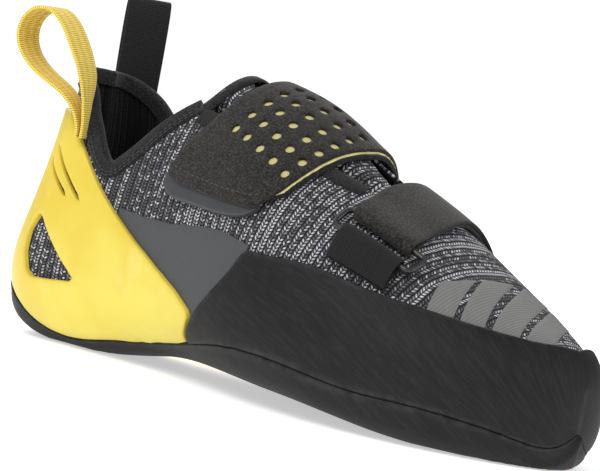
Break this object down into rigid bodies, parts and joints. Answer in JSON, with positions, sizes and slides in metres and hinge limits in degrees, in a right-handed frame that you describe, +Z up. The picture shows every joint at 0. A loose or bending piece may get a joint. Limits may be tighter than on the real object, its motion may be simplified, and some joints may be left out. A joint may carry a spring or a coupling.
{
  "type": "climbing shoe",
  "caption": "Knitted climbing shoe with a moulded heel cup, a high rubber rand, a broad strap, a ringed forefoot strap and heel pull loops.",
  "frame": {"origin": "centre of the heel's flat spot on the floor", "axes": "+X from heel to toe, +Z up, +Y towards the wearer's other foot"},
  "size_m": [0.2502, 0.0999, 0.1267],
  "materials": {
    "knit_grey": "ribbed knit",
    "insole_grey": "felted board",
    "rubber_black": "matt moulded rubber",
    "rubber_yellow": "smooth moulded rubber",
    "film_grey": "coated film",
    "suede_black": "brushed microfibre",
    "lining_yellow": "brushed lining",
    "tab_grey": "soft moulded rubber",
    "webbing_black": "woven webbing",
    "webbing_yellow": "woven webbing",
    "ring_dark": "black coated wire"
  },
  "bodies": {
    "root": {"upper": "knit_grey", "insole": "insole_grey", "outsole": "rubber_black", "rand": "rubber_black", "heel_cup": "rubber_yellow", "film_outer": "film_grey", "film_inner": "film_grey", "tongue": "suede_black", "instep_strap": "suede_black", "strap_tab": "tab_grey", "strap_lining": "lining_yellow", "ring": "ring_dark", "forefoot_strap": "suede_black", "ring_anchor": "webbing_black", "collar_binding": "webbing_black", "throat_binding_outer": "webbing_black", "throat_binding_inner": "webbing_black", "tongue_binding": "webbing_black", "pull_loop_outer": "webbing_yellow", "pull_loop_inner": "webbing_black"}
  },
  "joints": []
}
